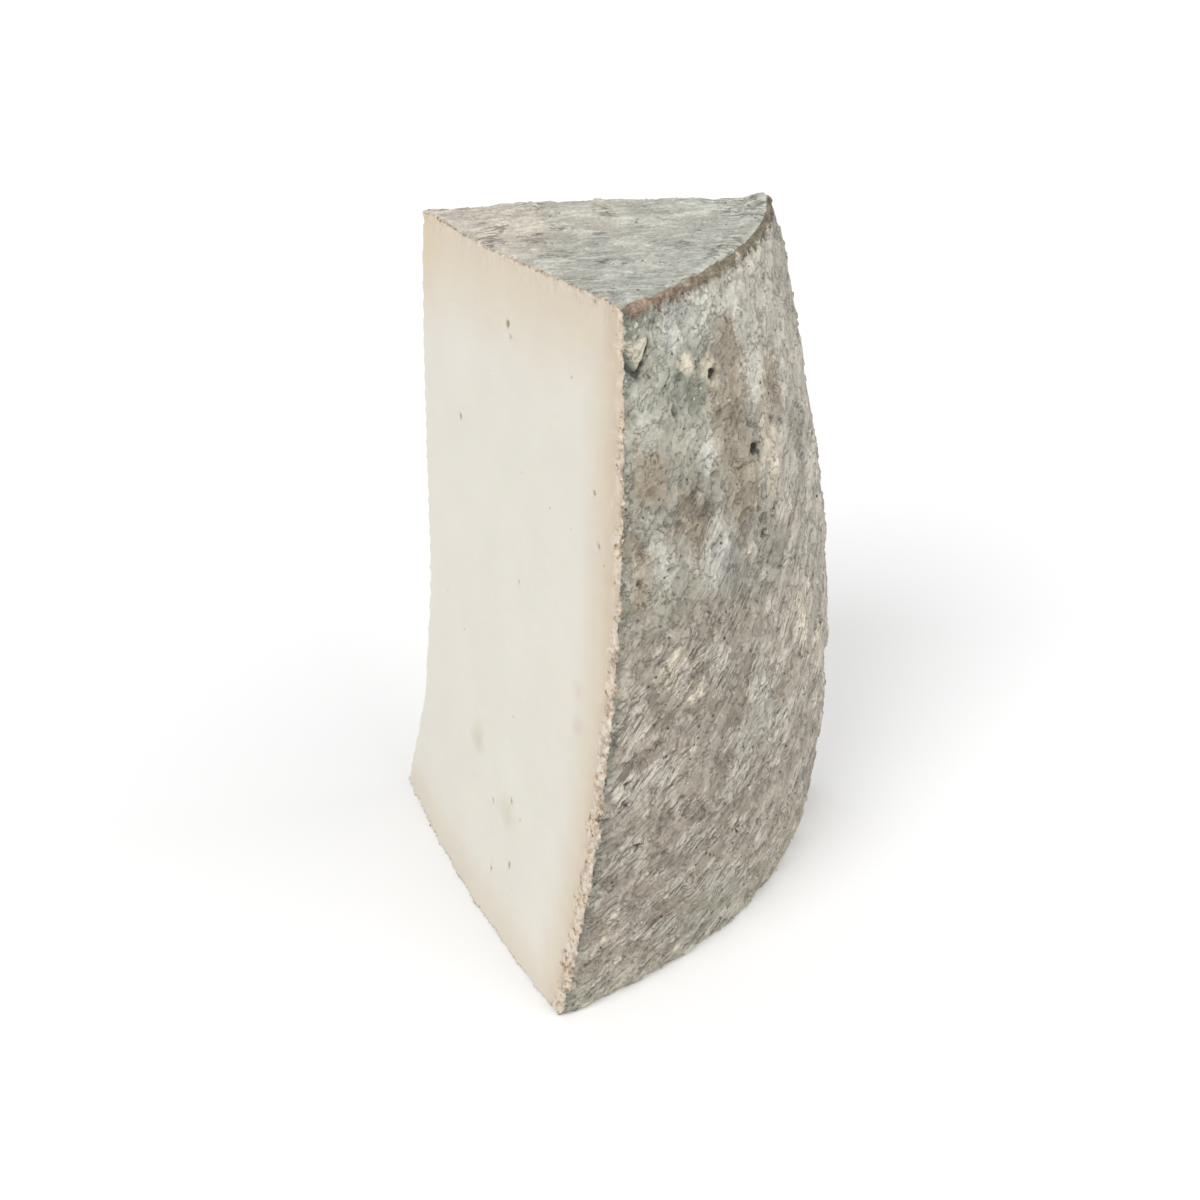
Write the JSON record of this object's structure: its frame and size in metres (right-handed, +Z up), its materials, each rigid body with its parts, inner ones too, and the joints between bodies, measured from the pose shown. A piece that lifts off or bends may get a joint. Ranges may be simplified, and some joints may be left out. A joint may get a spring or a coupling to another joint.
{
  "type": "cheese wheel wedge",
  "caption": "Wedge of a drum-shaped cheese wheel with a grey natural rind and two ivory cut faces, standing on its base.",
  "frame": {"origin": "centre of the bounding box, on the flat base that the wedge stands on", "axes": "+Z up, along the wheel's own axis; +X from the tip of the wedge to the middle of its rind"},
  "size_m": [0.113, 0.1094, 0.1579],
  "materials": {
    "cheese": "ivory paste on the two cut faces, grey and brown mould rind elsewhere, matte"
  },
  "bodies": {
    "root": {"cheese_wedge": "cheese"}
  },
  "joints": []
}
